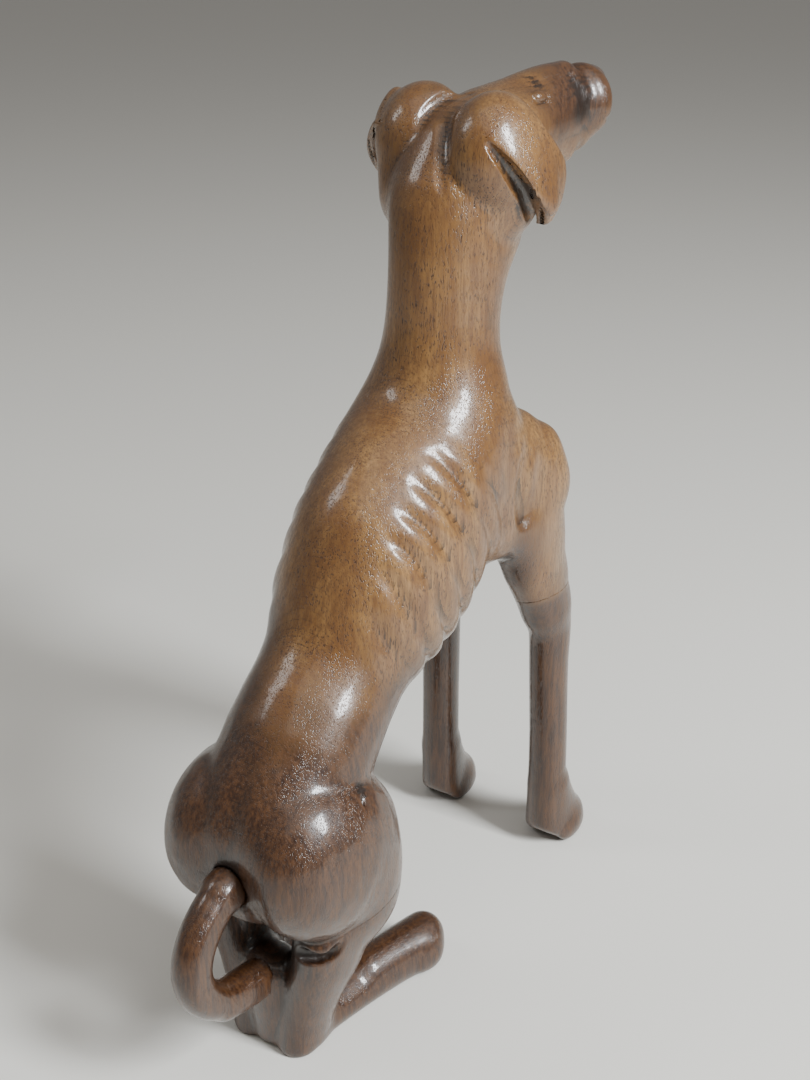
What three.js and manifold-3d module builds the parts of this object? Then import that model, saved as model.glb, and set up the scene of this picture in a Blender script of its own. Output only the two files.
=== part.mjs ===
// A seated hound carved in hardwood: body, ears, forelegs, hind legs and tail, with the dowels that join them.
// Millimetres, +Z up. The hound faces -Y, its right side is -X, and its soles stand on z = 0.
import * as THREE from "three";
import { mergeVertices } from "three/addons/utils/BufferGeometryUtils.js";
import Module from "manifold-3d";

// Driving dimensions
const FRONT_FEET_Y = -108.9; // the line between the forefeet, from the origin under the middle of the statue
const LEG_SPREAD = 33; // from the middle to a foreleg
const ELBOW_HEIGHT = 157; // the forelegs' glue joints
const ELBOW_SLOPE = 0.32; // the elbow joint rises this much for each millimetre outwards
const STIFLE_HEIGHT = 67; // the hind legs' glue joint, under the back of the haunches
const STIFLE_SLOPE = 0.33; // it rises this much for each millimetre forwards
const STIFLE_BACK = 209; // where STIFLE_HEIGHT is measured, behind the forefeet
const HEAD_TURN = 8.5; // degrees that the head looks to its right
const HEAD_CENTRE = { forward: -50, up: 370 };
const TAIL_RADIUS = 8.8;
const DOWEL_RADIUS = 4;
const DOWEL_LENGTH = 36;
const STIFLE_DOWEL_LENGTH = 26;
const TAIL_DOWEL_LENGTH = 22;
const ELBOW_BACK = 15; // the elbow dowels, behind the forefeet
const SOLE_START = 3; // the front soles end this far behind the line between the forefeet
const SOLE_SLOPE = 14 / 17; // behind them the legs' undersides rise this much for each millimetre back
const GAP = 0.3; // glue line between two pieces

const wasm = await Module();
wasm.setup();

// A place from how far it is ahead of the forefeet, to the hound's right, and above the floor
const place = (forward, right, up) => new THREE.Vector3(-right, FRONT_FEET_Y - forward, up);

function solid(geometry) {
  const bare = geometry.clone();
  bare.deleteAttribute("normal");
  bare.deleteAttribute("uv");
  const merged = mergeVertices(bare, 1e-4);
  return new wasm.Manifold(new wasm.Mesh({
    numProp: 3,
    vertProperties: new Float32Array(merged.attributes.position.array),
    triVerts: new Uint32Array(merged.index.array),
  }));
}

function geometryOf(manifold) {
  const mesh = manifold.getMesh();
  const geometry = new THREE.BufferGeometry();
  geometry.setAttribute("position", new THREE.BufferAttribute(new Float32Array(mesh.vertProperties), 3));
  geometry.setIndex(new THREE.BufferAttribute(new Uint32Array(mesh.triVerts), 1));
  geometry.computeVertexNormals();
  return geometry;
}

// A closed limb through stations [forward, right, up, half width, half depth], with rounded ends.
// Widths lie across the hound, or along `across` where that is given.
function limb(stations, { rings = 18, sides = 16, grow = 0, across = new THREE.Vector3(1, 0, 0) } = {}) {
  const centres = new THREE.CatmullRomCurve3(stations.map(([f, r, u]) => place(f, r, u)), false, "centripetal");
  const sizes = new THREE.CatmullRomCurve3(stations.map(([, , , w, d]) => new THREE.Vector3(w, d, 0)));
  const positions = [];
  const index = [];
  const ring = (centre, tangent, halfWidth, halfDepth) => {
    const wide = across.clone().addScaledVector(tangent, -across.dot(tangent)).normalize();
    const deep = new THREE.Vector3().crossVectors(tangent, wide);
    for (let side = 0; side < sides; side++) {
      const angle = (side / sides) * 2 * Math.PI;
      positions.push(...centre.clone()
        .addScaledVector(wide, Math.cos(angle) * halfWidth)
        .addScaledVector(deep, Math.sin(angle) * halfDepth).toArray());
    }
  };
  const capRings = 3;
  const end = (t, direction) => {
    const centre = centres.getPoint(t);
    const tangent = centres.getTangent(t);
    const size = sizes.getPoint(t);
    const reach = Math.min(size.x, size.y) * 0.8 + grow;
    return (share) => {
      const shrink = Math.cos(share * Math.PI / 2);
      const at = centre.clone().addScaledVector(tangent, direction * reach * Math.sin(share * Math.PI / 2));
      return [at, tangent, (size.x + grow) * shrink, (size.y + grow) * shrink];
    };
  };
  const startCap = end(0, -1);
  const endCap = end(1, 1);
  positions.push(...startCap(1)[0].toArray());
  for (let cap = capRings - 1; cap > 0; cap--) ring(...startCap(cap / capRings));
  for (let step = 0; step <= rings; step++) {
    const t = step / rings;
    const size = sizes.getPoint(t);
    ring(centres.getPoint(t), centres.getTangent(t), size.x + grow, size.y + grow);
  }
  for (let cap = 1; cap < capRings; cap++) ring(...endCap(cap / capRings));
  positions.push(...endCap(1)[0].toArray());
  const ringCount = rings + 1 + 2 * (capRings - 1);
  const last = 1 + ringCount * sides;
  for (let side = 0; side < sides; side++) {
    const next = (side + 1) % sides;
    index.push(0, 1 + next, 1 + side);
    for (let row = 0; row < ringCount - 1; row++) {
      const a = 1 + row * sides;
      const b = a + sides;
      index.push(a + side, a + next, b + side, b + side, a + next, b + next);
    }
    index.push(last - sides + side, last - sides + next, last);
  }
  const geometry = new THREE.BufferGeometry();
  geometry.setAttribute("position", new THREE.Float32BufferAttribute(positions, 3));
  geometry.setIndex(index);
  return solid(geometry);
}

// An ellipsoid with its middle at a place, half sizes across, along and up, leaning back by `lean` degrees
function ball(centre, [across, along, up], lean = 0) {
  const geometry = new THREE.SphereGeometry(1, 20, 12);
  geometry.scale(across, along, up);
  geometry.rotateX(THREE.MathUtils.degToRad(lean));
  geometry.translate(centre.x, centre.y, centre.z);
  return solid(geometry);
}

function dowelSolid(centre, direction, length, grow = 0) {
  const geometry = new THREE.CylinderGeometry(DOWEL_RADIUS + grow, DOWEL_RADIUS + grow, length + 2 * grow, 20);
  const turn = new THREE.Quaternion().setFromUnitVectors(new THREE.Vector3(0, 1, 0), direction.clone().normalize());
  geometry.applyQuaternion(turn);
  geometry.translate(centre.x, centre.y, centre.z);
  return solid(geometry);
}

// Everything on the far side of a plane through a point, to cut with
function halfSpace(point, normal) {
  const size = 600;
  const geometry = new THREE.BoxGeometry(size, size, size);
  const turn = new THREE.Quaternion().setFromUnitVectors(new THREE.Vector3(0, 0, 1), normal.clone().normalize());
  geometry.translate(0, 0, size / 2);
  geometry.applyQuaternion(turn);
  geometry.translate(point.x, point.y, point.z);
  return solid(geometry);
}

const joined = (pieces) => pieces.reduce((whole, piece) => whole.add(piece));
const belowFloor = halfSpace(new THREE.Vector3(0, 0, 0), new THREE.Vector3(0, 0, -1));
const mirrorSides = [["left", -1], ["right", 1]];

// Torso and neck, from the rump to the back of the head
const torso = () => limb([
  [-207, 0, 90, 24, 20],
  [-196, 0, 112, 34, 30],
  [-173, 0, 142, 33, 32],
  [-150, 0, 163, 31, 30],
  [-130, 0, 183, 37, 42],
  [-109, 0, 204, 40, 51],
  [-86, 0, 229, 39, 48],
  [-70, 0, 257, 35, 37],
  [-66, 0, 289, 26, 27],
  [-66, 0, 322, 25, 25],
  [-64, 0, 346, 26, 24],
  [-57, 0, 367, 23, 19],
], { rings: 28, sides: 24 });

// The breast, between the shoulders
const breast = () => ball(place(-55, 0, 222), [28, 36, 44], 20);

// A place on the head, from how far it is ahead of the middle of the skull, to its right, and above the floor
function headPlace(ahead, right, up) {
  const turn = THREE.MathUtils.degToRad(HEAD_TURN);
  return [
    HEAD_CENTRE.forward + ahead * Math.cos(turn) - right * Math.sin(turn),
    ahead * Math.sin(turn) + right * Math.cos(turn),
    up,
  ];
}
const headLimb = (stations, options) =>
  limb(stations.map(([ahead, right, up, ...sizes]) => [...headPlace(ahead, right, up), ...sizes]), options);

// Skull and muzzle, along the way that the head looks
const head = () => headLimb([
  [-6, 0, HEAD_CENTRE.up - 3, 21, 18],
  [8, 0, HEAD_CENTRE.up - 2, 24, 20],
  [26, 0, HEAD_CENTRE.up + 2, 21, 22],
  [48, 0, HEAD_CENTRE.up + 4, 16, 21],
  [66, 0, HEAD_CENTRE.up + 6, 14, 18],
  [80, 0, HEAD_CENTRE.up + 6, 13, 15],
], { rings: 12, sides: 18 });

// The fold at the root of each ear, a dome on the side of the skull
const earRoot = (side) => ball(place(...headPlace(-4, side * 21, HEAD_CENTRE.up - 1)), [17, 21, 23], 12);

// Each ear hangs from its root as a thick leaf down the side of the cheek. The left one flares out more.
const EAR_FLARE = 3;
const earLeaf = (side, grow = 0, outward = 0) => {
  const flare = outward + (side < 0 ? EAR_FLARE : 0);
  return headLimb([
    [-13, side * (28 + flare), 382, 4, 13],
    [-5, side * (35 + flare), 373, 4, 17],
    [2, side * (39 + flare), 360, 4, 15],
    [8, side * (40 + outward), 345, 3.5, 7],
    [10, side * (39.5 + outward), 340, 3, 3],
  ], { rings: 9, sides: 12, grow });
};

// The bed that the leaf lies in, open to the outside
const EAR_BED_STEPS = [0, 5, 10];
const earBed = (side) => joined(EAR_BED_STEPS.map((outward) => earLeaf(side, GAP, outward)));

// Shoulder, upper arm and foreleg in one run; the elbow joint parts it
const foreleg = (side) => limb([
  [-46, side * 22, 238, 15, 22],
  [-32, side * 27, 216, 15, 20],
  [-28, side * 29, 190, 13, 22],
  [-17, side * (LEG_SPREAD - 2), 158, 11, 15],
  [-12, side * (LEG_SPREAD - 1), 134, 10.5, 12.5],
  [-11, side * (LEG_SPREAD - 1), 110, 10, 11],
  [-9, side * LEG_SPREAD, 60, 10, 10.5],
  [-8, side * LEG_SPREAD, 22, 10.5, 11],
  [-6, side * LEG_SPREAD, 2, 12, 12],
], { rings: 18, sides: 14 });

const forepaw = (side) => ball(place(5, side * (LEG_SPREAD + 1), 7), [12.5, 18, 13]);

const haunch = (side) => ball(place(-188, side * 22, 103), [26, 42, 38], 30);

// The knee's lower half belongs to the hind leg
const knee = (side) => ball(place(-176, side * 27, 82), [14, 21, 27], 10);

// Shank from the stifle back and down to the heel
const shank = (side) => limb([
  [-180, side * 26, 98, 16, 28],
  [-182, side * 26, 84, 16, 28],
  [-187, side * 23, 54, 14, 22],
  [-193, side * 15, 22, 11.5, 15],
  [-195, side * 11, -8, 10, 13],
], { rings: 9, sides: 14 });

const hindFoot = (side) => limb([
  [-196, side * 9, 7, 10, 12],
  [-165, side * 14.5, 7, 10.5, 11],
  [-136, side * 23, 8, 11, 12.5],
  [-122, side * 28.5, 8, 12, 13],
], { rings: 8, sides: 14 });

// The web that joins the two heels, where the end of the tail rests
const heelBlock = (grow = 0) => limb([
  [-194, 0, -6, 14, 13],
  [-196, 0, 20, 14, 14],
  [-200, 0, 40, 12, 13],
], { rings: 5, sides: 14, grow });

const tailRoot = place(-219, 0, 98);
const tailLoop = (grow = 0) => limb([
  [-212, 0, 101, TAIL_RADIUS + 2, TAIL_RADIUS + 2],
  [-230, 0, 98, TAIL_RADIUS, TAIL_RADIUS],
  [-243, 0, 88, TAIL_RADIUS, TAIL_RADIUS],
  [-249, 0, 75, TAIL_RADIUS, TAIL_RADIUS],
  [-247, 0, 62, TAIL_RADIUS, TAIL_RADIUS],
  [-239, 0, 51, TAIL_RADIUS, TAIL_RADIUS],
  [-225, 0, 42, TAIL_RADIUS - 1, TAIL_RADIUS - 1],
  [-204, 0, 37, TAIL_RADIUS - 1, TAIL_RADIUS - 1],
], { rings: 20, sides: 12, grow });

const elbowPlane = (side) => ({
  point: place(-ELBOW_BACK, side * LEG_SPREAD, ELBOW_HEIGHT),
  normal: new THREE.Vector3(side * ELBOW_SLOPE, 0, 1).normalize(),
});
const stiflePlane = {
  point: place(-STIFLE_BACK, 0, STIFLE_HEIGHT),
  normal: new THREE.Vector3(0, STIFLE_SLOPE, 1).normalize(),
};
const shifted = ({ point, normal }, distance) => [point.clone().addScaledVector(normal, distance), normal];

// Each dowel runs through the middle of its joint, close to square with it
const elbowDowel = (side, grow = 0) => dowelSolid(
  place(-ELBOW_BACK, side * (LEG_SPREAD - 2), ELBOW_HEIGHT),
  new THREE.Vector3(0, 0.12, 1),
  DOWEL_LENGTH,
  grow,
);
const stifleDowel = (side, grow = 0) => dowelSolid(
  place(-182, side * 22, 76),
  new THREE.Vector3(0, STIFLE_SLOPE, 1),
  STIFLE_DOWEL_LENGTH,
  grow,
);
const tailDowel = (grow = 0) => dowelSolid(tailRoot, new THREE.Vector3(0, 1, -0.1), TAIL_DOWEL_LENGTH, grow);

const tailPlane = { point: tailRoot, normal: new THREE.Vector3(0, 1, -0.15).normalize() };
const tailBehindRoot = (grow = 0) => tailLoop(grow)
  .subtract(halfSpace(...shifted({ point: tailPlane.point, normal: tailPlane.normal.clone().negate() }, grow)));

// The rear of each front sole is cut away to a slope
const pawChamfer = halfSpace(place(-SOLE_START, 0, 0), new THREE.Vector3(0, SOLE_SLOPE, -1));

const below = ({ point, normal }) => halfSpace(point, normal.clone().negate());

const nodes = {};

nodes.body = mirrorSides.reduce(
  (whole, [, side]) => whole
    .add(foreleg(side).subtract(below(elbowPlane(side))))
    .subtract(earBed(side))
    .subtract(elbowDowel(side, GAP))
    .subtract(stifleDowel(side, GAP)),
  joined([torso(), breast(), head()])
    .add(joined(mirrorSides.flatMap(([, side]) => [earRoot(side), haunch(side), knee(side)])))
    .subtract(below(stiflePlane)),
).subtract(tailBehindRoot(GAP)).subtract(tailDowel(GAP));

for (const [name, side] of mirrorSides) {
  nodes[`${name}_ear`] = earLeaf(side);
  const leg = foreleg(side).subtract(halfSpace(...shifted(elbowPlane(side), -GAP))).add(forepaw(side));
  nodes[`${name}_foreleg`] = leg.subtract(belowFloor).subtract(pawChamfer).subtract(elbowDowel(side, GAP));
  nodes[`${name}_elbow_dowel`] = elbowDowel(side);
  nodes[`${name}_stifle_dowel`] = stifleDowel(side);
}

nodes.hind_legs = mirrorSides.reduce(
  (legs, [, side]) => legs.subtract(stifleDowel(side, GAP)),
  joined([heelBlock(), ...mirrorSides.flatMap(([, side]) => [knee(side), shank(side), hindFoot(side)])])
    .subtract(halfSpace(...shifted(stiflePlane, -GAP))).subtract(belowFloor),
);

nodes.tail = tailBehindRoot().subtract(heelBlock(GAP)).subtract(tailDowel(GAP));
nodes.tail_dowel = tailDowel();

const woods = {
  body: new THREE.MeshStandardMaterial({ color: 0x9a6230, roughness: 0.35, metalness: 0 }),
  dowel: new THREE.MeshStandardMaterial({ color: 0xc49a63, roughness: 0.6, metalness: 0 }),
};

const hound = new THREE.Group();
for (const [name, piece] of Object.entries(nodes)) {
  const mesh = new THREE.Mesh(geometryOf(piece), name.endsWith("dowel") ? woods.dowel : woods.body);
  mesh.name = name;
  hound.add(mesh);
}

export default hound;
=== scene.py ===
"""A seated hound carved in varnished hardwood, sculpted in fine detail over its CAD model."""
import math

import bpy
import numpy as np
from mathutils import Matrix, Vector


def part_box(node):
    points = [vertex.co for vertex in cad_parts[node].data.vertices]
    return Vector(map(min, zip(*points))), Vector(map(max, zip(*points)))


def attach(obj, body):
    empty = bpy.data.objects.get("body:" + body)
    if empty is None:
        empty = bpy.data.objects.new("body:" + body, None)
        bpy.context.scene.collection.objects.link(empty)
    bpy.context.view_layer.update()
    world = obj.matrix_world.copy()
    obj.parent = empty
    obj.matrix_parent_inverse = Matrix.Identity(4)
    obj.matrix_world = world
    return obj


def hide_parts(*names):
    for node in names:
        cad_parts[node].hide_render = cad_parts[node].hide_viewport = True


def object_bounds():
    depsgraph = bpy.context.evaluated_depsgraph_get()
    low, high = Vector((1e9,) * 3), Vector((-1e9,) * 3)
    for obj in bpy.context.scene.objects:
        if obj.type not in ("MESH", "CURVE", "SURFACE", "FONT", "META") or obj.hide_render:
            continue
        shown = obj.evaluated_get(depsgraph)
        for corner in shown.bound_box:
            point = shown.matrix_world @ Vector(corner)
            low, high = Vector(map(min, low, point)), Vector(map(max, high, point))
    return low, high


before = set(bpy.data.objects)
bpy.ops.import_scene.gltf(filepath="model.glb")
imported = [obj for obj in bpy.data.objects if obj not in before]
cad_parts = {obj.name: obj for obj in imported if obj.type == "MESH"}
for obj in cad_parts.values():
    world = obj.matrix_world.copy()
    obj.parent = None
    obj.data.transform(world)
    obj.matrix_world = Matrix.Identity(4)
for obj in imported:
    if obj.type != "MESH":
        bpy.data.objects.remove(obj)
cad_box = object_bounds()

import openvdb as vdb
from mathutils import Vector

MM = 1000  # millimetres in a metre
STEP = 0.8  # millimetres between the points of the sculpting grid
MARGIN = 9  # millimetres of grid around the CAD model
REACH = 14  # distances are known this far from a CAD surface
GLUE_GAP = 0.3  # millimetres between two CAD pieces
HAIRLINE = 0.04  # half of the gap between two carved pieces
EAR_SOCKET = 0.8  # but the body reaches this far into each ear's piece, so that no gap shows there
PIECE_ROOM = 8  # a carved leg or tail stays within this of its CAD node's box
SIDES = (("left", -1), ("right", 1))

# ---------------------------------------------------------------- places, in millimetres


def node_box(name):
    low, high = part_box(name)
    return np.array(low) * MM, np.array(high) * MM


def node_middle(name):
    return sum(node_box(name)) / 2


ELBOW_BACK = 15  # the elbow dowels stand this far behind the line between the forefeet
FEET_Y = node_middle("left_elbow_dowel")[1] - ELBOW_BACK


def place(ahead, right, up):
    """A point from how far it is ahead of the forefeet, to the hound's right, and above the floor."""
    return np.array([-right, FEET_Y - ahead, up], dtype=float)


# The head looks a little to its right, square to the line between the ears
EARS_BEHIND_SKULL = 3.3  # the ears' middle is this far behind the middle of the skull
EARS_LEFT_OF_SKULL = 1.7  # and this far to its left, because the left ear flares out
across_head = (node_middle("right_ear") - node_middle("left_ear")) * (1, 1, 0)
across_head /= np.linalg.norm(across_head)
head_way = np.array([-across_head[1], across_head[0], 0])
skull = (node_middle("left_ear") + node_middle("right_ear")) / 2
skull = skull + head_way * EARS_BEHIND_SKULL + across_head * EARS_LEFT_OF_SKULL


def head_place(ahead, right, up):
    """A point from how far it is ahead of the middle of the skull, to its right, and above the floor."""
    point = skull + head_way * ahead + across_head * right
    return np.array([point[0], point[1], up])


# ---------------------------------------------------------------- sculpting grid

# A coarse grid for the rough shape, and a fine one with a point halfway between each two of its points
COARSE = 2 * STEP
coarse_low = np.floor((np.array(cad_box[0]) * MM - MARGIN) / COARSE).astype(int)
coarse_shape = np.ceil((np.array(cad_box[1]) * MM + MARGIN) / COARSE).astype(int) - coarse_low + 1
fine_low = 2 * coarse_low
AXES = [(low + np.arange(2 * count - 1, dtype=np.float32)) * np.float32(STEP)
        for low, count in zip(fine_low, coarse_shape)]


def corner(index):
    return tuple(int(i) for i in index)


def window(low, high):
    """The part of the fine grid between two corners, as slices, with the coordinates of its points."""
    part = tuple(slice(*np.searchsorted(axis, sorted(pair))) for axis, pair in zip(AXES, zip(low, high)))
    x, y, z = (axis[span] for axis, span in zip(AXES, part))
    return part, x[:, None, None], y[None, :, None], z[None, None, :]


def cad_distances(name):
    """Distances to the surface of a CAD node over the coarse grid, negative inside it."""
    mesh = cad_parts[name].data
    points = np.empty(len(mesh.vertices) * 3, np.float32)
    mesh.vertices.foreach_get("co", points)
    mesh.calc_loop_triangles()
    triangles = np.empty(len(mesh.loop_triangles) * 3, np.int32)
    mesh.loop_triangles.foreach_get("vertices", triangles)
    level_set = vdb.FloatGrid.createLevelSetFromPolygons(
        points.reshape(-1, 3) * MM, triangles=triangles.reshape(-1, 3).astype(np.uint32),
        transform=vdb.createLinearTransform(voxelSize=COARSE), halfWidth=REACH / COARSE)
    distances = np.empty(tuple(coarse_shape), np.float32)
    level_set.copyToArray(distances, ijk=corner(coarse_low))
    return distances


def along(axis, span):
    """An index that takes `span` along one axis and everything along the others."""
    return tuple(span if a == axis else slice(None) for a in range(3))


def blurred(field, sigma, step):
    """The field smoothed over sigma millimetres."""
    reach = math.ceil(2.4 * sigma / step)
    weights = np.exp(-0.5 * (np.arange(-reach, reach + 1) * step / sigma) ** 2)
    weights /= weights.sum()
    for axis in range(3):
        padded = np.pad(field, [(reach, reach) if a == axis else (0, 0) for a in range(3)], mode="edge")
        field = np.zeros_like(field)
        for shift, weight in enumerate(weights):
            field += np.float32(weight) * padded[along(axis, slice(shift, shift + field.shape[axis]))]
    return field


def refined(field):
    """The field on the fine grid, on smooth curves between the coarse points."""
    for axis in range(3):
        shape = list(field.shape)
        shape[axis] = 2 * shape[axis] - 1
        fine = np.empty(shape, np.float32)
        before = field[along(axis, slice(0, -1))]
        after = field[along(axis, slice(1, None))]
        fine[along(axis, slice(0, None, 2))] = field
        fine[along(axis, slice(1, None, 2))] = (before + after) / 2
        smooth = fine.copy()
        before = fine[along(axis, slice(0, -2))]
        after = fine[along(axis, slice(2, None))]
        smooth[along(axis, slice(1, -1))] = (before + after + 2 * fine[along(axis, slice(1, -1))]) / 4
        field = smooth
    return field


def fade(value, start, end):
    """From 0 at start to 1 at end, with soft ends."""
    share = np.clip((value - start) / (end - start), 0, 1)
    return share * share * (3 - 2 * share)


def smooth_min(a, b, blend):
    """The smaller of two distances, rounded where they are within `blend` of each other."""
    overlap = np.maximum(blend - np.abs(a - b), 0) / blend
    return np.minimum(a, b) - overlap * overlap * (blend / 4)


class Form:
    """Something to add to the wood or to carve out of it: its distances, and the box that holds it."""

    def __init__(self, distances, low, high):
        self.distances = distances
        self.low = np.array(low, dtype=float)
        self.high = np.array(high, dtype=float)


def unit(vector):
    vector = np.array(vector, dtype=float)
    return vector / np.linalg.norm(vector)


def ellipsoid_distances(reaches, half):
    """Rough distances to an ellipsoid, from how far points reach along its axes and its half sizes."""
    first = sum((reach / size) ** 2 for reach, size in zip(reaches, half))
    second = sum((reach / size ** 2) ** 2 for reach, size in zip(reaches, half))
    first = np.sqrt(first)
    return (first * (first - 1) / (np.sqrt(second) + 1e-6)).astype(np.float32)


def blob(middle, half, ahead=(0, -1, 0), up=(0, 0, 1)):
    """An ellipsoid with half sizes across, along `ahead` and along `up`."""
    forward = unit(ahead)
    across = unit(np.cross(forward, up))
    axes = (across, forward, np.cross(across, forward))

    def distances(x, y, z):
        offset = (x - middle[0], y - middle[1], z - middle[2])
        reaches = [sum(d * np.float32(c) for d, c in zip(offset, axis)) for axis in axes]
        return ellipsoid_distances(reaches, half)

    return Form(distances, middle - max(half), middle + max(half))


def curve_through(rows, count):
    """Rows on a smooth curve through the given rows."""
    rows = np.array(rows, dtype=float)
    padded = np.vstack([2 * rows[:1] - rows[1:2], rows, 2 * rows[-1:] - rows[-2:-1]])
    result = []
    for t in np.linspace(0, len(rows) - 1, count):
        start = min(int(t), len(rows) - 2)
        u = t - start
        a, b, c, d = padded[start:start + 4]
        result.append(0.5 * (2 * b + (c - a) * u + (2 * a - 5 * b + 4 * c - d) * u ** 2
                             + (3 * b - a - 3 * c + d) * u ** 3))
    return np.array(result)


def rod(points, radii, smooth=0):
    """A rod through points, with a radius at each; `smooth` puts that many points on a curve through them."""
    rows = np.column_stack([np.array(points, dtype=float), radii])
    if smooth:
        rows = curve_through(rows, smooth)
    widest = rows[:, 3].max()

    def distances(x, y, z):
        nearest = None
        for a, b in zip(rows, rows[1:]):
            way = b[:3] - a[:3]
            square = float(way @ way) or 1e-9
            dx, dy, dz = x - a[0], y - a[1], z - a[2]
            share = np.clip((dx * way[0] + dy * way[1] + dz * way[2]) / square, 0, 1)
            gap = np.sqrt((dx - share * way[0]) ** 2 + (dy - share * way[1]) ** 2
                          + (dz - share * way[2]) ** 2)
            gap -= a[3] + share * (b[3] - a[3])
            nearest = gap if nearest is None else np.minimum(nearest, gap)
        return nearest.astype(np.float32)

    return Form(distances, rows[:, :3].min(axis=0) - widest, rows[:, :3].max(axis=0) + widest)


WINDOW_ROOM = 3  # a form changes the wood up to this far outside its box and its blend


def add(wood, form, blend):
    room = blend + WINDOW_ROOM
    part, x, y, z = window(form.low - room, form.high + room)
    wood[part] = smooth_min(wood[part], form.distances(x, y, z), blend)


def carve(wood, form, blend):
    room = blend + WINDOW_ROOM
    part, x, y, z = window(form.low - room, form.high + room)
    wood[part] = -smooth_min(-wood[part], form.distances(x, y, z), blend)


def swell(wood, middle, spread, amount):
    """Raise the surface by `amount` around a point, fading out over `spread`; a negative amount sinks it."""
    part, x, y, z = window(middle - 2.5 * np.array(spread), middle + 2.5 * np.array(spread))
    far = ((x - middle[0]) / spread[0]) ** 2 + ((y - middle[1]) / spread[1]) ** 2
    far = far + ((z - middle[2]) / spread[2]) ** 2
    wood[part] -= np.float32(amount) * np.exp(-far)


# ---------------------------------------------------------------- carving the hound

BLOCK_NODES = ("body", "left_foreleg", "right_foreleg", "hind_legs", "left_ear", "right_ear",
               "left_elbow_dowel", "right_elbow_dowel", "left_stifle_dowel", "right_stifle_dowel")
TAIL_NODES = ("tail", "tail_dowel")


def rough_shape(nodes):
    """CAD pieces as one solid, with their glue lines closed."""
    solid = cad_distances(nodes[0])
    for name in nodes[1:]:
        np.minimum(solid, cad_distances(name), out=solid)
    return solid - GLUE_GAP


FACET_BLUR = 1.8  # millimetres of smoothing that take the CAD facets away
TORSO_BLUR = 4.5  # the same on the torso
TORSO_FILL = 0.25  # and what the torso is raised by, because the smoothing shrinks it


def rough_hound():
    """The block that the hound is carved from, its facets smoothed away, most of all on the torso."""
    block = rough_shape(BLOCK_NODES)
    fine = blurred(block, FACET_BLUR, COARSE)
    soft = blurred(block, TORSO_BLUR, COARSE) - TORSO_FILL
    up = AXES[2][None, None, ::2]
    share = fade(up, 160, 185) * (1 - fade(up, 335, 350))
    return refined(fine + share * (soft - fine)) + GLUE_GAP


RIB_ACROSS = (0.88, 0.47)  # ahead and up, square to the slanted ribs
RIB_START = -3.3  # where one of the hollows between them lies along that way
RIB_SPACING = 13.5
RIB_DEPTH = 1.6
TORSO_WAY = (0.65, 0.76)  # ahead and up, from the waist to the neck


def carve_torso(wood):
    """Fill the flanks, then press the slanted hollows between the ribs into them."""
    swell(wood, place(-148, -33, 182), (26, 26, 26), 2.2)
    part, x, y, z = window(place(-50, -60, 145), place(-185, 60, 290))
    ahead = FEET_Y - y
    across = RIB_ACROSS[0] * ahead + RIB_ACROSS[1] * z
    # the hollows wander a little and are not all alike
    across = across + 1.2 * np.sin(z / 9) + 0.8 * np.sin(x / 7 + z / 15)
    hollow = (0.5 + 0.5 * np.cos(2 * np.pi * (across - RIB_START) / RIB_SPACING)) ** 1.6
    forward = TORSO_WAY[0] * ahead + TORSO_WAY[1] * z
    side = fade(-x, 19, 30) + 0.55 * fade(x, 21, 33)
    where = side * fade(forward, 28, 50) * (1 - fade(forward, 116, 138)) * fade(-ahead, 60, 78)
    wood[part] += (RIB_DEPTH * (hollow - 0.35) * where).astype(np.float32)


def carve_shoulders(wood):
    for _, side in SIDES:
        # the point of the shoulder
        add(wood, blob(place(-21, side * 35, 214), (6.5, 8, 10)), 7)
        add(wood, blob(place(-24, side * 29, 227), (9, 10, 14)), 10)
        # the flank runs on to the shoulder
        add(wood, rod([place(-56, side * 21, 250), place(-57, side * 24.5, 232), place(-58, side * 24.5, 214),
                       place(-58, side * 23, 200)], [9, 11, 11, 9], smooth=9), 12)
        # skin of the armpit, from the chest to the arm, and the inner side of the arm
        add(wood, rod([place(-82, side * 24, 212), place(-62, side * 25, 200), place(-44, side * 27, 196)],
                      [8, 8, 8]), 12)
        add(wood, rod([place(-44, side * 26.5, 198), place(-34, side * 29, 172), place(-20, side * 31, 146)],
                      [8, 9, 8]), 12)
        # groove behind the upper arm, and the flat of the shoulder blade
        carve(wood, rod([place(-49, side * 41, 246), place(-57, side * 40.5, 226),
                         place(-54, side * 38.5, 208)], [2.5, 4.2, 2.5], smooth=9), 5)
        carve(wood, blob(place(-43, side * 49, 221), (9, 9, 19), up=(0.1, 0.15, 1)), 4)


def carve_rump(wood):
    add(wood, blob(place(-199, 0, 116), (30, 22, 26)), 14)
    # the cleft between the buttocks
    carve(wood, rod([place(-213, 0, 151), place(-222, 0.5, 138), place(-230, 1, 122), place(-232, 1, 108)],
                    [1.0, 2.5, 4, 5], smooth=13), 9)
    for _, side in SIDES:
        # the lower edge of the thigh stands over the shank
        edge = [place(-218, side * 4, 73), place(-213, side * 18, 65), place(-202, side * 32, 62.5),
                place(-197, side * 40.5, 71), place(-193.5, side * 45.5, 79), place(-189, side * 49, 96)]
        carve(wood, rod(edge, [4.5, 4.5, 3.0, 2.3, 2.0, 1.3], smooth=21), 1)
        # the crease above the knee
        carve(wood, rod([place(-174, side * 37, 137), place(-181, side * 37.5, 133),
                         place(-186, side * 40, 124)], [1.6, 1.0, 0.3], smooth=9), 0.8)


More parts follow.
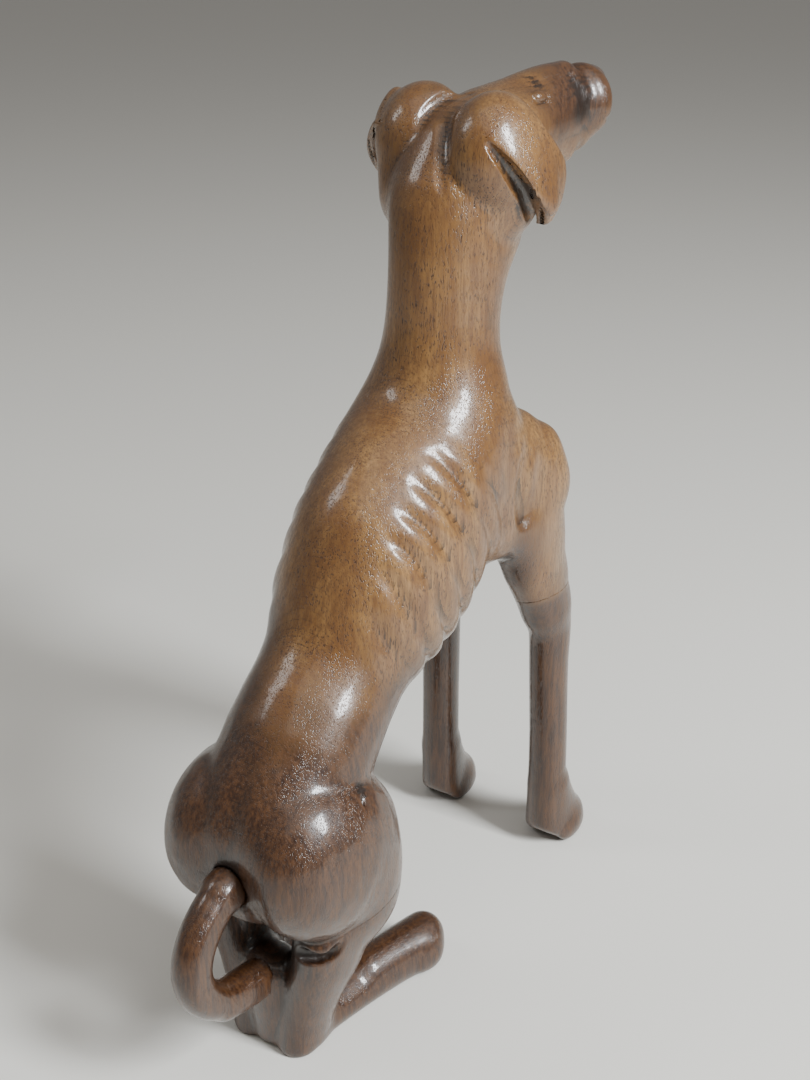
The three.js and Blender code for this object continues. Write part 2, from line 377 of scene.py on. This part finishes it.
def carve_hind_legs(wood):
    for _, side in SIDES:
        # square heel, and the straight outer edge of the foot
        add(wood, rod([place(-200, side * 12.5, 3), place(-198, side * 13.5, 26)], [7.5, 7]), 3)
        add(wood, rod([place(-198, side * 13, 5.5), place(-165, side * 19, 6), place(-132, side * 26.5, 7)],
                      [6.5, 7, 7]), 4)
        add(wood, rod([place(-152, side * 17.5, 11.5), place(-119, side * 26.5, 12.8)], [9.3, 9.6]), 5)
        # knee
        add(wood, blob(place(-172, side * 32, 82), (13, 17, 26)), 8)


TOES = ((-9, 15), (-3.2, 19), (3.2, 19), (9, 15))  # how far each lies to the side and ahead


def carve_paws(wood):
    for _, side in SIDES:
        add(wood, rod([place(-5, side * 34, 36), place(5, side * 34.5, 12)], [9, 11.5]), 6)
        for spread, length in TOES:
            add(wood, blob(place(length - 12, side * 34 + spread, 6.5), (4.2, 11, 7)), 2)
            add(wood, blob(place(length - 140, side * 25.5 + spread * 0.95, 7), (4, 10, 7)), 2)


def carve_head(wood):
    # throat and jaw
    add(wood, rod([place(-64, 1, 298), place(-58, 2, 320), place(-50, 3, 336), place(-41, 4, 350)],
                  [20, 22.5, 23.5, 21], smooth=9), 8)
    add(wood, blob(head_place(2, 21, 348), (13, 16, 14)), 6)
    # the neck is slimmer on the left, under the cheek
    swell(wood, place(-66, -28, 322), (12, 22, 30), -6.5)
    swell(wood, place(-56, 28, 300), (12, 18, 22), -1.5)
    # cheeks, the roots of the ears
    add(wood, blob(head_place(-5, 19.5, 368), (19, 21.5, 24)), 3)
    add(wood, blob(head_place(-5, -18, 367), (19.5, 21, 25)), 3)
    add(wood, blob(head_place(-11, -18, 349), (14.5, 16, 19)), 6)
    # the forehead is lower than the cheeks' domes
    swell(wood, head_place(26, 4, 394), (15, 15, 10), -3.2)
    swell(wood, head_place(-2, -9, 390), (11, 9, 9), 1.8)
    # bridge of the nose, from the forehead to a blunt end
    add(wood, rod([head_place(8, 0, 379.5), head_place(30, 0, 384), head_place(50, 0, 388),
                   head_place(66, 0, 389.5)], [7, 7.5, 7.5, 7], smooth=13), 3)
    # lower jaw
    add(wood, rod([head_place(30, 0, 362), head_place(50, 0, 361.5), head_place(66, 0, 361),
                   head_place(76, 0, 365)], [11, 10, 9, 8], smooth=11), 5)
    # the end of the muzzle flares behind a slanted hollow
    for _, side in SIDES:
        carve(wood, rod([head_place(60, side * 8.5, 397), head_place(63, side * 14, 391),
                         head_place(67, side * 17.5, 383), head_place(70, side * 18.5, 374),
                         head_place(71.5, side * 16.5, 366), head_place(72.5, side * 12, 358),
                         head_place(73, 0, 350.5)],
                        [3.8, 5.5, 6.6, 7.1, 6.6, 5.5, 4], smooth=25), 2)
    add(wood, blob(head_place(80.5, 0, 378), (15.5, 11, 16.5)), 2)
    add(wood, blob(head_place(87, 0, 387), (7.5, 6, 6)), 3)
    for _, side in SIDES:
        # groove beside the bridge, and the eye behind it
        carve(wood, rod([head_place(17, side * 10.5, 391.5), head_place(32, side * 11, 392),
                         head_place(46, side * 10.5, 393), head_place(60, side * 9.5, 394)],
                        [2.4, 3.4, 3.0, 2.0], smooth=13), 1.2)
        carve(wood, blob(head_place(33, side * 17.5, 386), (4.5, 8, 4.2)), 1.5)
        add(wood, blob(head_place(33, side * 12.0, 385.6), (3.6, 5, 2.7)), 0.4)
        # nostril and mouth
        carve(wood, blob(head_place(93, side * 4.5, 386), (1.8, 3, 1.6)), 1)
        carve(wood, rod([head_place(93, side * 1, 372), head_place(88, side * 12, 371),
                         head_place(78, side * 16.5, 369.5), head_place(66, side * 14.2, 367),
                         head_place(52, side * 16.5, 366)],
                        [1.5, 1.6, 1.7, 1.5, 0.8], smooth=21), 1)
    # grooves on both sides of the nape, meeting at the crown
    carve(wood, rod([head_place(6, -3, 391), head_place(-8, -4, 388.5), head_place(-18, -5, 384),
                     head_place(-27, -6, 376.5), head_place(-34, -7, 366), head_place(-40, -6.5, 353),
                     head_place(-44, -5, 336)],
                    [3.4, 3.6, 4.1, 4.2, 4.1, 3.8, 1.8], smooth=25), 0.7)
    carve(wood, rod([head_place(3, 0, 391), head_place(-13, 2, 386.5), head_place(-22, 7, 379.5),
                     head_place(-28, 11, 371), head_place(-32.5, 15, 361), head_place(-34.5, 20, 353),
                     head_place(-31, 26, 346)],
                    [3.3, 3.8, 4.3, 4.3, 4.0, 3.2, 1.3], smooth=25), 1.2)


# The ears are flaps cut from one rounded envelope: outlines as ahead and up from the skull, on the right ear
EAR_OUTLINE = [(-23, 377), (13, 337.5), (17.5, 338), (23.5, 346), (25, 358), (23, 364), (17, 370),
               (10.5, 377), (4.5, 384.5), (-2, 389), (-13, 386)]
EAR_ENVELOPE_MIDDLE = (3, 8, 358)  # ahead, out to the ear's side, and up
EAR_ENVELOPE_HALF = (42, 32.5, 41)
EAR_BOX = ((-30, 12, 330), (30, 52, 395))  # two corners around an ear, measured like the envelope
EAR_BOX_ROOM = 6
EAR_THICK = 5.5
EAR_FLARE = {"left": 12.0, "right": 0.0}  # how far the lower part of each flap stands out


def polygon_distances(a, u, outline):
    """Signed distances in a plane to an outline, negative inside."""
    nearest = None
    inside = None
    corners = np.array(outline, dtype=float)
    for (a0, u0), (a1, u1) in zip(corners, np.roll(corners, -1, axis=0)):
        da, du = a1 - a0, u1 - u0
        share = np.clip(((a - a0) * da + (u - u0) * du) / (da * da + du * du), 0, 1)
        gap = (a - a0 - share * da) ** 2 + (u - u0 - share * du) ** 2
        nearest = gap if nearest is None else np.minimum(nearest, gap)
        crosses = ((u0 > u) != (u1 > u)) & (a < a0 + (u - u0) / (u1 - u0 + 1e-9) * da)
        inside = crosses if inside is None else inside ^ crosses
    return np.where(inside, -1, 1) * np.sqrt(nearest)


def ear_forms(name, side):
    """The ear's flap, and the region of the grid that belongs to it."""
    middle = head_place(0, 0, 0)

    def parts(x, y, z):
        dx, dy = x - middle[0], y - middle[1]
        ahead = dx * head_way[0] + dy * head_way[1]
        right = side * (dx * across_head[0] + dy * across_head[1])
        outline = polygon_distances(ahead, z, EAR_OUTLINE)
        first = second = 0
        flare = EAR_FLARE[name] * fade(0.3 * ahead + z - 370, 8, -18)
        to_front, to_side, to_top = EAR_ENVELOPE_MIDDLE
        reaches = (ahead - to_front, right - flare - to_side, z - to_top)
        for reach, size in zip(reaches, EAR_ENVELOPE_HALF):
            first = first + (reach / size) ** 2
            second = second + (reach / size ** 2) ** 2
        envelope = np.sqrt(first) * (np.sqrt(first) - 1) / (np.sqrt(second) + 1e-6)
        return outline, envelope, right

    def flap(x, y, z):
        outline, envelope, right = parts(x, y, z)
        solid = -smooth_min(-envelope, -(outline + 0.3), 2.2)
        solid = np.maximum(solid, -(envelope + EAR_THICK))
        return np.maximum(solid, -right).astype(np.float32)

    def region(x, y, z):
        outline, envelope, right = parts(x, y, z)
        return np.maximum(np.maximum(outline - 0.2, -(envelope + EAR_THICK)), -right).astype(np.float32)

    corners = [head_place(ahead, side * out, up) for ahead, out, up in EAR_BOX]
    low = np.minimum(*corners) - EAR_BOX_ROOM
    high = np.maximum(*corners) + EAR_BOX_ROOM
    return Form(flap, low, high), Form(region, low, high)


def carve_ears(wood):
    for name, side in SIDES:
        flap, _ = ear_forms(name, side)
        # the undercut behind the flap's lower edge
        carve(wood, rod([head_place(-22.5, side * 31.5, 374.8), head_place(-14.5, side * 36.8, 363.8),
                         head_place(-3, side * 38, 351), head_place(8.5, side * 35, 339)],
                        [1.6, 3.4, 4.4, 5.4], smooth=15), 0.6)
        add(wood, flap, 0.6)


TAIL_HALF_WIDTH = 7.9


def carved_tail(hound):
    """The tail's loop with flat sides, fitted to the rump at its root and to the heels at its end."""
    tail = refined(blurred(rough_shape(TAIL_NODES), FACET_BLUR, COARSE)) + GLUE_GAP
    add(tail, rod([place(-206, 0, 101), place(-228, 0, 99)], [9.8, 9.0]), 2)
    add(tail, rod([place(-232, 0, 45.5), place(-202, 0, 38)], [8.6, 8.8]), 2)
    flat = np.abs(AXES[0])[:, None, None] - TAIL_HALF_WIDTH
    tail = -smooth_min(-tail, -flat, 1.6)
    return np.maximum(tail, 2 * HAIRLINE - hound)


# ---------------------------------------------------------------- from the carving to pieces


def joint_plane(name, facing):
    """A point and the normal of the flat face that a CAD node shows most of towards `facing`."""
    areas = {}
    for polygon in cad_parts[name].data.polygons:
        if polygon.normal.dot(Vector(facing)) > 0.7:
            distance = polygon.normal.dot(polygon.center) * MM
            key = (*(round(c, 2) for c in polygon.normal), round(distance, 0))
            area, _, _ = areas.get(key, (0, None, None))
            areas[key] = (area + polygon.area, polygon.center * MM, polygon.normal.copy())
    _, point, normal = max(areas.values(), key=lambda entry: entry[0])
    return np.array(point), np.array(normal)


def plane_distances(plane, x, y, z):
    (px, py, pz), (nx, ny, nz) = plane
    return (x - px) * nx + (y - py) * ny + (z - pz) * nz - GLUE_GAP / 2


FORELEG_INNER = 5  # a foreleg's region starts this far from the middle of the chest


def foreleg_region(name, side):
    """Everything below an elbow's glue joint, on that side of the chest."""
    plane = joint_plane(name, (0, 0, 1))
    low, high = node_box(name)

    def region(x, y, z):
        return np.maximum(plane_distances(plane, x, y, z), FORELEG_INNER + side * x)

    return Form(region, low - PIECE_ROOM, high + PIECE_ROOM)


def hind_region():
    """Everything below the glue joint of the hind legs."""
    plane = joint_plane("hind_legs", (0, 0, 1))
    low, high = node_box("hind_legs")

    def region(x, y, z):
        return plane_distances(plane, x, y, z)

    return Form(region, low - PIECE_ROOM, high + PIECE_ROOM)


SLOPE_REACH = 0.75 * STEP  # slopes are measured over this far to both sides
MESHED_BAND = 3 * STEP  # a field is kept this far from its surface when it is meshed
SKIN_REACH = 0.8 * STEP  # points this near the whole surface lie on it, and the others on a joint
LARGEST_MOVE = 0.5 * STEP
LEAST_STEEPNESS = 0.2  # keeps a point from leaping where the field is nearly flat


def sampled(field, points):
    """The field's values at points, by interpolation between the grid's points."""
    spot = points / STEP - fine_low
    cell = np.clip(np.floor(spot).astype(int), 0, np.array(field.shape) - 2)
    share = (spot - cell).astype(np.float32)
    flat = field.ravel()
    _, rows, columns = field.shape
    start = (cell[:, 0] * rows + cell[:, 1]) * columns + cell[:, 2]
    value = 0
    for i in (0, 1):
        for j in (0, 1):
            for k in (0, 1):
                weight = np.ones(len(points), np.float32)
                for axis, far in enumerate((i, j, k)):
                    weight *= share[:, axis] if far else 1 - share[:, axis]
                value = value + weight * flat[start + (i * rows + j) * columns + k]
    return value


def slopes(field, points):
    """How fast the field grows along each axis at points."""
    result = np.empty_like(points)
    for axis in range(3):
        shift = np.zeros(3, np.float32)
        shift[axis] = SLOPE_REACH
        rise = sampled(field, points + shift) - sampled(field, points - shift)
        result[:, axis] = rise / (2 * SLOPE_REACH)
    return result


def piece(name, field, part, outer, layers):
    """A smooth mesh on the zero surface of `field`, which is part of the whole surface `outer`."""
    grid = vdb.FloatGrid(MESHED_BAND)
    low = fine_low + [span.start for span in part]
    grid.copyFromArray(np.clip(field, -MESHED_BAND, MESHED_BAND).astype(np.float32), ijk=corner(low))
    grid.transform = vdb.createLinearTransform(voxelSize=STEP)
    points, quads = grid.convertToQuads(isovalue=0)
    points = points.astype(np.float32)
    skin = np.abs(sampled(outer, points)) < SKIN_REACH
    for _ in range(2):
        slope = slopes(outer, points[skin])
        value = sampled(outer, points[skin])
        steepness = np.maximum((slope ** 2).sum(axis=1), LEAST_STEEPNESS)
        move = np.clip(value / steepness, -LARGEST_MOVE, LARGEST_MOVE)
        points[skin] -= move[:, None] * slope
    normals = np.zeros_like(points)
    slope = slopes(outer, points[skin])
    normals[skin] = slope / np.linalg.norm(slope, axis=1, keepdims=True)
    points[:, 2] = np.maximum(points[:, 2], 0)
    mesh = bpy.data.meshes.new(name)
    mesh.from_pydata((points / MM).tolist(), [], quads.tolist())
    mesh.shade_smooth()
    mesh.normals_split_custom_set_from_vertices(normals.tolist())
    for label, layer in layers.items():
        attribute = mesh.attributes.new(label, "FLOAT", "POINT")
        attribute.data.foreach_set("value", layer(points).astype(np.float32))
    obj = bpy.data.objects.new(name, mesh)
    bpy.context.scene.collection.objects.link(obj)
    return obj


hound = rough_hound()
carve_torso(hound)
carve_shoulders(hound)
carve_rump(hound)
carve_hind_legs(hound)
carve_paws(hound)
carve_head(hound)
carve_ears(hound)
np.maximum(hound, -AXES[2][None, None, :], out=hound)
tail = carved_tail(hound)

# ---------------------------------------------------------------- where the wood is dark, and where shade is painted

HOLLOW_BLUR = 3.2  # millimetres of smoothing that fill the hollows and take the ridges away
filled = blurred(hound[::2, ::2, ::2], HOLLOW_BLUR, COARSE)


def hollow_depth(points):
    """How far a point lies in a hollow, above 0, or on a ridge, below 0."""
    spot = points / COARSE - coarse_low
    cell = np.clip(np.rint(spot).astype(int), 0, np.array(filled.shape) - 1)
    return -filled[cell[:, 0], cell[:, 1], cell[:, 2]]


# Rows of a place, how far it reaches in x, y and z, and how much darker it is, or paler below 0
DARK_PLACES = (
    (head_place(74, 0, 384), (30, 44, 24), 0.95),
    (place(-196, 34, 92), (12, 16, 16), -0.35),
    (head_place(50, 0, 375), (30, 30, 14), 0.45),
    # painted shade on the left cheek, the side away from the lamps
    (head_place(-5, -20, 372), (26, 22, 30), 0.65),
    (head_place(-8, 18, 378), (20, 18, 14), 0.30),
    # painted shade in the groove on the left side of the nape
    (head_place(-35, -10, 345), (14, 18, 30), 0.35),
    (place(-70, 30, 165), (26, 16, 22), 0.5),
    (place(-50, 30, 190), (16, 14, 26), 0.5),
    # painted shade on the left flank, the side away from the lamps
    (place(-150, -34, 170), (30, 16, 40), 0.35),
)

# Places darkened like deep hollows, by stain and by painted shade: rows of a place, how far it reaches in x,
# y and z, and the depth of hollow that its darkening is like
STAINED_AND_SHADED_PLACES = (
    # painted shade in the cavity under the thighs, between the tail and the shanks
    (place(-210, 8, 61), (23, 14, 14), 3.4),
    (place(-222, 0, 108), (9, 13, 7), 1.8),
    (place(-224, 0, 42), (8, 9, 12), 1.0),
    # painted shade in the undercuts behind the ears' flaps
    (head_place(-3, 33, 353), (14, 3.5, 12), 2.2),
    (head_place(-3, -36, 353), (14, 6, 12), 2.2),
    # stain and painted shade in the hollow behind the muzzle's flared end
    (head_place(66, 14, 384), (8, 8, 14), 2.4),
    # painted shade in the groove beside the bridge of the nose, above the eye
    (head_place(38, 11, 391), (16, 3, 4), 1.6),
    (place(-58, 29, 188), (8, 9, 10), 1.2),
    # stain and painted shade in the crease above the knee
    (place(-180, 37, 134), (7, 3, 3), 2.0),
)


def near(points, middle, spread):
    """1 at a place, fading out over about `spread`."""
    far = sum(((points[:, axis] - middle[axis]) / spread[axis]) ** 2 for axis in range(3))
    return np.exp(-far)


def dark_wood_and_shade(points):
    """How dark the surface is, from 0 to 1: dark wood most on the haunches, the legs, the tail and the
    muzzle, and painted shade on the left side, away from the lamps.
    """
    behind = points[:, 1] - FEET_Y
    right, up = -points[:, 0], points[:, 2]
    # the back half is dark below a line that slants over the haunches and lies higher on the left, where the
    # darkening is painted shade on the side away from the lamps
    back_half = 1 - fade(up + 0.35 * (behind - 150) + 0.3 * right, 152, 210)
    # the front half is darker towards the floor, with a step at the elbow joints
    front_half = 0.35 * (1 - fade(up - 0.3 * np.abs(right), 141, 148)) + 0.55 * (1 - fade(up, 130, 250))
    back = fade(behind, 88, 150)
    dark = front_half * (1 - back) + back_half * back
    for middle, spread, share in DARK_PLACES:
        dark = dark + share * near(points, middle, spread)
    return np.clip(dark, 0, 1)


def stain_and_painted_shade(points):
    """Dark stain and painted shade: in the hollows, and in the listed places."""
    depth = hollow_depth(points)
    for middle, spread, amount in STAINED_AND_SHADED_PLACES:
        depth = depth + amount * near(points, middle, spread)
    return depth


# ---------------------------------------------------------------- the carved pieces

# the hollow layer carries dark stain and painted shade, the tone layer dark wood and painted shade on the
# left side
LAYERS = {"hollow": stain_and_painted_shade, "tone": dark_wood_and_shade}
whole = tuple(slice(0, len(axis)) for axis in AXES)
body = hound.copy()
regions = {f"{name}_foreleg": foreleg_region(f"{name}_foreleg", side) for name, side in SIDES}
regions["hind_legs"] = hind_region()
for name, side in SIDES:
    regions[f"{name}_ear"] = ear_forms(name, side)[1]
carved = {}
for node, region in regions.items():
    part, x, y, z = window(region.low, region.high)
    inside = region.distances(x, y, z)
    carved[node] = piece(f"carved_{node}", np.maximum(hound[part], inside + HAIRLINE), part, hound, LAYERS)
    gap = -EAR_SOCKET if node.endswith("ear") else HAIRLINE
    body[part] = np.maximum(body[part], gap - inside)
carved["body"] = piece("carved_body", body, whole, hound, LAYERS)
low, high = node_box("tail")
part, _, _, _ = window(low - PIECE_ROOM, high + PIECE_ROOM)
carved["tail"] = piece("carved_tail", tail[part], part, tail, LAYERS)

# ---------------------------------------------------------------- materials


MIX_A, MIX_B, MIX_RESULT = 6, 7, 2  # the colour sockets of a Mix node


class Shader:
    """A Principled material, with short ways to add nodes and links."""

    def __init__(self, name):
        self.material = bpy.data.materials.new(name)
        self.material.use_nodes = True
        self.tree = self.material.node_tree
        self.surface = self.tree.nodes["Principled BSDF"]

    def node(self, kind, values=None, **settings):
        """A new node, with a number, a colour or a link for each of its inputs in `values`."""
        new_node = self.tree.nodes.new(kind)
        for key, value in settings.items():
            setattr(new_node, key, value)
        for key, value in (values or {}).items():
            if isinstance(value, bpy.types.NodeSocket):
                self.tree.links.new(value, new_node.inputs[key])
            else:
                new_node.inputs[key].default_value = value
        return new_node

    def noise(self, coordinates, scale, detail=2.0, roughness=0.5, distortion=0.0):
        pattern = self.node("ShaderNodeTexNoise", {"Vector": coordinates, "Scale": scale, "Detail": detail,
                                                   "Roughness": roughness, "Distortion": distortion})
        return pattern.outputs["Fac"]

    def ramp(self, value, start, end, low=0.0, high=1.0):
        """From low where the value is at start to high where it is at end, with soft ends."""
        return self.node("ShaderNodeMapRange", {"Value": value, "From Min": start, "From Max": end,
                                                "To Min": low, "To Max": high},
                         interpolation_type="SMOOTHSTEP").outputs["Result"]

    def maths(self, operation, a, b):
        return self.node("ShaderNodeMath", {0: a, 1: b}, operation=operation).outputs[0]

    def mix(self, share, a, b):
        both = self.node("ShaderNodeMix", {0: share, MIX_A: a, MIX_B: b}, data_type="RGBA")
        return both.outputs[MIX_RESULT]


def colour(red, green, blue):
    return (red, green, blue, 1)


GOLDEN = colour(0.185, 0.085, 0.024)
TAWNY = colour(0.29, 0.155, 0.052)
RUSSET = colour(0.080, 0.030, 0.009)
# the dark wood's colour, which also paints shade where the tone is high on the left side
HEARTWOOD_AND_SHADE = colour(0.080, 0.032, 0.010)
UMBER = colour(0.026, 0.0095, 0.004)
# the colour of stain, and of painted shade in the creases, undercuts and cavities
STAIN_AND_PAINTED_SHADE = colour(0.0075, 0.0038, 0.0024)
BEECH_DARK = colour(0.42, 0.27, 0.13)
BEECH_PALE = colour(0.55, 0.38, 0.20)

PATTERN_TURN = math.radians(-14)  # turns the noise after it is drawn out, so the grain stays upright
GRAIN_SQUEEZE = 0.09  # the grain's pattern is drawn out along the grain by one over this
PORE_SQUEEZE = 0.2
BEECH_SQUEEZE = 0.1


def carved_wood():
    """Varnished hardwood: upright grain with short dark pores, darkened by stain and painted shade in the
    hollows, and by painted shade on the left side.
    """
    shader = Shader("varnished hardwood")
    spot = shader.node("ShaderNodeTexCoord").outputs["Object"]
    turn = (PATTERN_TURN, 0, 0)
    grain = shader.node("ShaderNodeMapping", {"Vector": spot, "Rotation": turn,
                                              "Scale": (1, 1, GRAIN_SQUEEZE)}).outputs["Vector"]
    pores = shader.node("ShaderNodeMapping", {"Vector": spot, "Rotation": turn,
                                              "Scale": (1, 1, PORE_SQUEEZE)}).outputs["Vector"]
    tone = shader.node("ShaderNodeAttribute", attribute_name="tone").outputs["Fac"]
    hollow = shader.node("ShaderNodeAttribute", attribute_name="hollow").outputs["Fac"]

    # bands of the growth rings, wide and fine
    bands = shader.ramp(shader.noise(grain, 70, 3, 0.6, 0.4), 0.34, 0.66)
    streaks = shader.ramp(shader.noise(grain, 620, 3, 0.65, 0.2), 0.3, 0.7)
    clouds = shader.ramp(shader.noise(spot, 17, 3, 0.55, 0.6), 0.33, 0.67)
    base = shader.mix(bands, GOLDEN, TAWNY)
    base = shader.mix(shader.maths("MULTIPLY", streaks, 0.6), base, RUSSET)
    base = shader.mix(shader.maths("MULTIPLY", clouds, 0.42), base, RUSSET)

    # dark heartwood, and painted shade on the left side, in streaks where it starts
    heart_and_shade = shader.maths("ADD", tone, shader.maths("MULTIPLY", shader.maths("SUBTRACT", bands, 0.5), 0.22))
    heart_and_shade = shader.maths("ADD", heart_and_shade, shader.maths("MULTIPLY", shader.maths("SUBTRACT", clouds, 0.5), 0.16))
    dark = shader.mix(streaks, UMBER, HEARTWOOD_AND_SHADE)
    base = shader.mix(shader.ramp(heart_and_shade, 0.18, 0.85), base, dark)

    # short pores, filled with dark stain
    specks = shader.ramp(shader.noise(pores, 1900, 1.5, 0.5), 0.545, 0.66)
    patches = shader.ramp(shader.noise(spot, 60, 2, 0.5), 0.36, 0.6, 0.4, 1.0)
    specks = shader.maths("MULTIPLY", specks, patches)
    base = shader.mix(shader.maths("MULTIPLY", specks, 0.8), base, UMBER)

    # stain left in the hollows, and painted shade in the creases, undercuts and cavities
    deep = shader.ramp(hollow, 0.18, 1.5)
    base = shader.mix(shader.maths("MULTIPLY", deep, 0.88), base, STAIN_AND_PAINTED_SHADE)
    shader.tree.links.new(base, shader.surface.inputs["Base Color"])

    rough = shader.ramp(streaks, 0, 1, 0.36, 0.46)
    shader.tree.links.new(rough, shader.surface.inputs["Roughness"])
    shader.surface.inputs["IOR"].default_value = 1.4
    shader.surface.inputs["Coat Weight"].default_value = 0.8
    shader.surface.inputs["Coat Roughness"].default_value = 0.14
    shader.surface.inputs["Coat IOR"].default_value = 1.5
    height = shader.maths("SUBTRACT", shader.maths("MULTIPLY", shader.noise(spot, 160, 2, 0.5), 0.9), specks)
    bump = shader.node("ShaderNodeBump", {"Height": height, "Strength": 0.35, "Distance": 0.00035})
    shader.tree.links.new(bump.outputs["Normal"], shader.surface.inputs["Normal"])
    shader.tree.links.new(bump.outputs["Normal"], shader.surface.inputs["Coat Normal"])
    return shader.material


def planed_wood():
    """Unvarnished pale wood for the dowels."""
    shader = Shader("planed beech")
    spot = shader.node("ShaderNodeTexCoord").outputs["Object"]
    grain = shader.node("ShaderNodeMapping", {"Vector": spot, "Scale": (1, 1, BEECH_SQUEEZE)})
    grain = grain.outputs["Vector"]
    streaks = shader.ramp(shader.noise(grain, 600, 3, 0.6), 0.3, 0.7)
    base = shader.mix(streaks, BEECH_DARK, BEECH_PALE)
    shader.tree.links.new(base, shader.surface.inputs["Base Color"])
    shader.surface.inputs["Roughness"].default_value = 0.65
    return shader.material


wood = carved_wood()
for node, obj in carved.items():
    obj.data.materials.append(wood)
    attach(obj, "root")
    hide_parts(node)

beech = planed_wood()
for node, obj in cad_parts.items():
    if node.endswith("dowel"):
        for material_slot in obj.material_slots:
            material_slot.material = beech

# ---------------------------------------------------------------- camera, floor and lights, in metres

SENSOR_WIDTH = 36  # millimetres, like the focal length
FOCAL_LENGTH = 46.67
CAMERA_PLACE = (-0.7847, 1.1482, 1.1908)  # in heights of the statue
CAMERA_WAY = (0.4987, -0.7534, -0.4289)
FLOOR_REACH = 60
PAPER = colour(0.75, 0.73, 0.68)
SKY = colour(1.0, 0.98, 0.95)
SKY_STRENGTH = 0.25


def add_camera():
    """Stand where the statue is seen from behind its right side, a little above its head."""
    height = float(cad_box[1][2])
    data = bpy.data.cameras.new("camera")
    data.sensor_width = SENSOR_WIDTH
    data.lens = FOCAL_LENGTH
    camera = bpy.data.objects.new("camera", data)
    bpy.context.scene.collection.objects.link(camera)
    camera.location = [share * height for share in CAMERA_PLACE]
    camera.rotation_euler = Vector(CAMERA_WAY).to_track_quat("-Z", "Y").to_euler()
    bpy.context.scene.camera = camera


def add_area_light(name, location, target, size, power, tint):
    data = bpy.data.lights.new(name, "AREA")
    data.shape = "RECTANGLE"
    data.size, data.size_y = size
    data.energy = power
    data.color = tint
    light = bpy.data.objects.new(name, data)
    bpy.context.scene.collection.objects.link(light)
    light.location = location
    light.rotation_euler = (Vector(target) - Vector(location)).to_track_quat("-Z", "Y").to_euler()


def add_floor():
    mesh = bpy.data.meshes.new("floor")
    corners = [(-FLOOR_REACH, -FLOOR_REACH, 0), (FLOOR_REACH, -FLOOR_REACH, 0),
               (FLOOR_REACH, FLOOR_REACH, 0), (-FLOOR_REACH, FLOOR_REACH, 0)]
    mesh.from_pydata(corners, [], [(0, 1, 2, 3)])
    floor = bpy.data.objects.new("floor", mesh)
    bpy.context.scene.collection.objects.link(floor)
    paper = bpy.data.materials.new("paper")
    paper.use_nodes = True
    paper.node_tree.nodes["Principled BSDF"].inputs["Base Color"].default_value = PAPER
    mesh.materials.append(paper)


def add_world():
    world = bpy.data.worlds.new("world")
    bpy.context.scene.world = world
    world.use_nodes = True
    world.node_tree.nodes["Background"].inputs["Color"].default_value = SKY
    world.node_tree.nodes["Background"].inputs["Strength"].default_value = SKY_STRENGTH


add_floor()
add_area_light("window", (-1.25, 0.02, 1.10), (-0.03, 0, 0.26), (0.36, 0.66), 50, (0.93, 0.97, 1.0))
add_area_light("far window", (0.95, 0.55, 1.25), (0, 0, 0.25), (0.35, 0.5), 3.5, (0.95, 0.98, 1.0))
add_area_light("ceiling", (-0.5, 0.5, 2.4), (0, 0, 0.2), (2.2, 2.2), 15, (1.0, 0.96, 0.9))
add_world()
add_camera()
